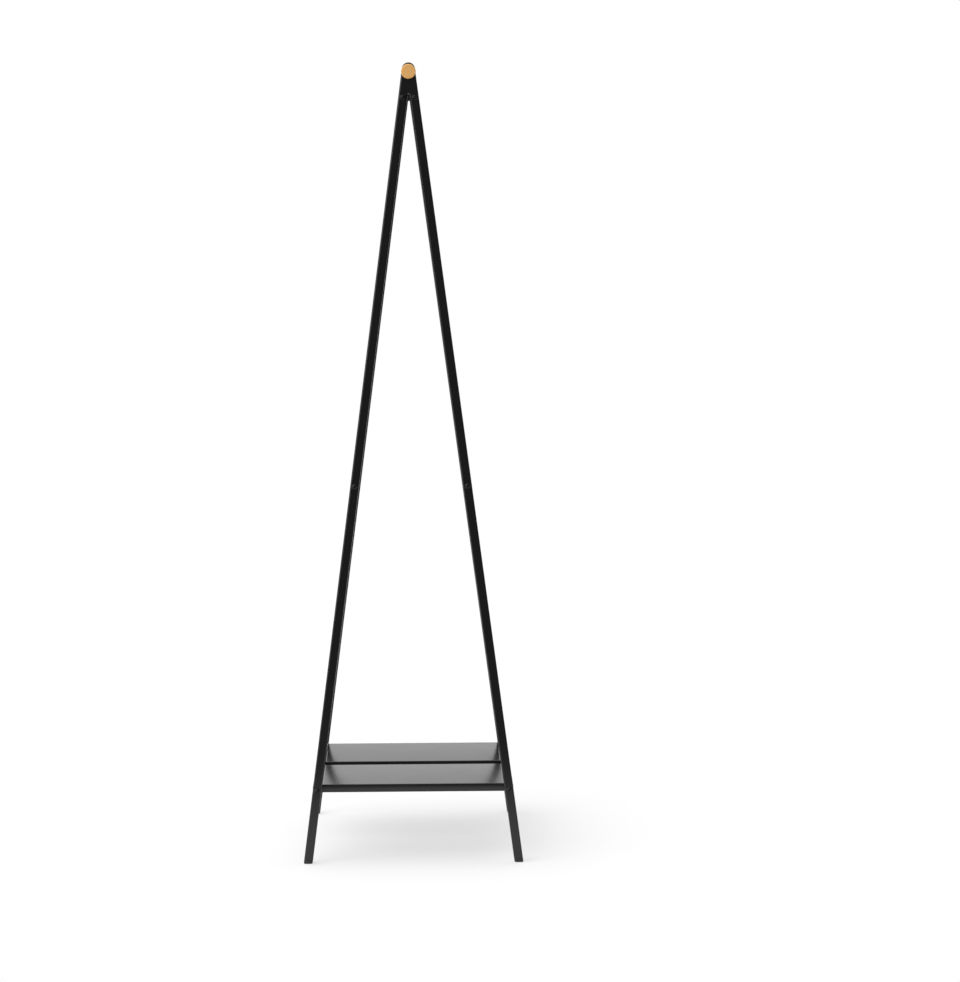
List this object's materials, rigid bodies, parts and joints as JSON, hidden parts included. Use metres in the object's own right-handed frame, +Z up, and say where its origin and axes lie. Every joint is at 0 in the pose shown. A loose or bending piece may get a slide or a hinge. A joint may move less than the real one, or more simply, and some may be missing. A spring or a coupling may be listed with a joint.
{
  "type": "valet stand",
  "caption": "Tall A-frame clothes stand in square black steel tube, with a wooden hanging rod along the top and two low folded-steel trays between the end frames.",
  "frame": {"origin": "on the floor, at the middle of the stand's length and width", "axes": "+Z up; Y along the hanging rod, with the front end frame at -Y; X across the A of the end frames, with the left legs at -X"},
  "size_m": [0.47, 0.63, 1.7],
  "materials": {
    "powder_coat": "satin black powder coat on steel tube, fine orange-peel texture",
    "tray_coat": "satin black powder coat on sheet steel, fine orange-peel texture",
    "bolt_black": "black oxide screw steel, semi-gloss",
    "plug_steel": "bare machined steel, hidden inside the tubes",
    "foot_plastic": "moulded black polyethylene, matt",
    "insert_brass": "turned brass, hidden in the rod",
    "oak": "light honey-coloured oak with a thin satin lacquer"
  },
  "bodies": {
    "root": {"hanging_rod": "oak", "front_rod_cap": "oak", "back_rod_cap": "oak", "front_apex_bracket": "powder_coat", "back_apex_bracket": "powder_coat", "front_left_upper_leg": "powder_coat", "front_right_upper_leg": "powder_coat", "back_left_upper_leg": "powder_coat", "back_right_upper_leg": "powder_coat", "front_left_lower_leg": "powder_coat", "front_right_lower_leg": "powder_coat", "back_left_lower_leg": "powder_coat", "back_right_lower_leg": "powder_coat", "front_left_coupler": "plug_steel", "front_right_coupler": "plug_steel", "back_left_coupler": "plug_steel", "back_right_coupler": "plug_steel", "front_left_foot": "foot_plastic", "front_right_foot": "foot_plastic", "back_left_foot": "foot_plastic", "back_right_foot": "foot_plastic", "left_rail": "powder_coat", "right_rail": "powder_coat", "front_left_rail_plug": "plug_steel", "front_right_rail_plug": "plug_steel", "back_left_rail_plug": "plug_steel", "back_right_rail_plug": "plug_steel", "front_shelf_tray": "tray_coat", "back_shelf_tray": "tray_coat", "apex_bolts": "bolt_black", "leg_joint_bolts": "bolt_black", "rail_bolts": "bolt_black", "rod_bolts": "bolt_black", "rod_inserts": "insert_brass", "tray_screws": "bolt_black"}
  },
  "joints": []
}
